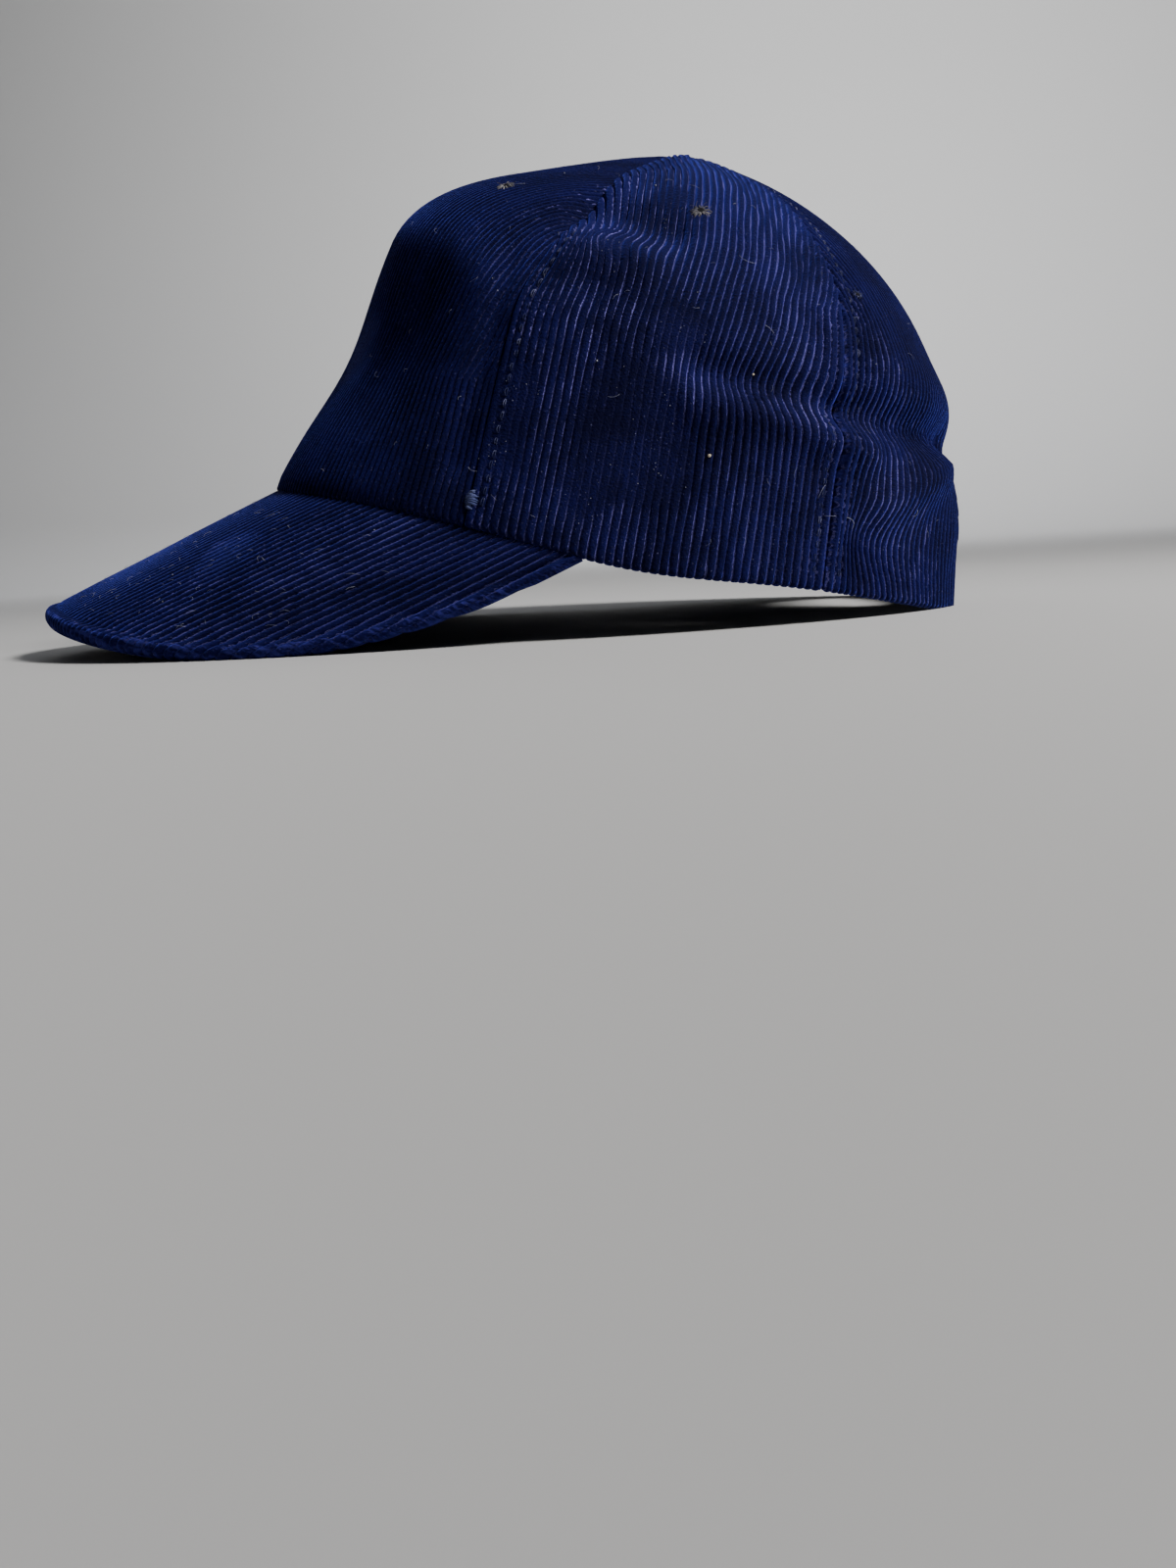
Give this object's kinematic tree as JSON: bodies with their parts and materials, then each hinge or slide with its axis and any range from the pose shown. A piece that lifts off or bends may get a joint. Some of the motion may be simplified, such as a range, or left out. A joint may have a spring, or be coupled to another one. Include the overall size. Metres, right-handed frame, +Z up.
{
  "type": "trucker cap",
  "caption": "Corduroy trucker cap with a seamed crown, a bent peak, a sweatband inside the rim and an arched back opening closed by a strap.",
  "frame": {"origin": "on the surface the cap stands on, under the middle of its bounding box", "axes": "-Y is the way the peak points, +X is the wearer's left, +Z is up; the cap leans back to stand on its peak and its back rim"},
  "size_m": [0.1678, 0.2584, 0.1261],
  "materials": {
    "corduroy": "ribbed cotton pile",
    "band_cloth": "plain cotton twill",
    "strap_plastic": "matte"
  },
  "bodies": {
    "root": {"front_panel": "corduroy", "side_panel_left": "corduroy", "side_panel_right": "corduroy", "back_panel_left": "corduroy", "back_panel_right": "corduroy", "peak_top": "corduroy", "peak_under": "corduroy", "sweatband": "band_cloth", "back_strap": "strap_plastic"}
  },
  "joints": []
}
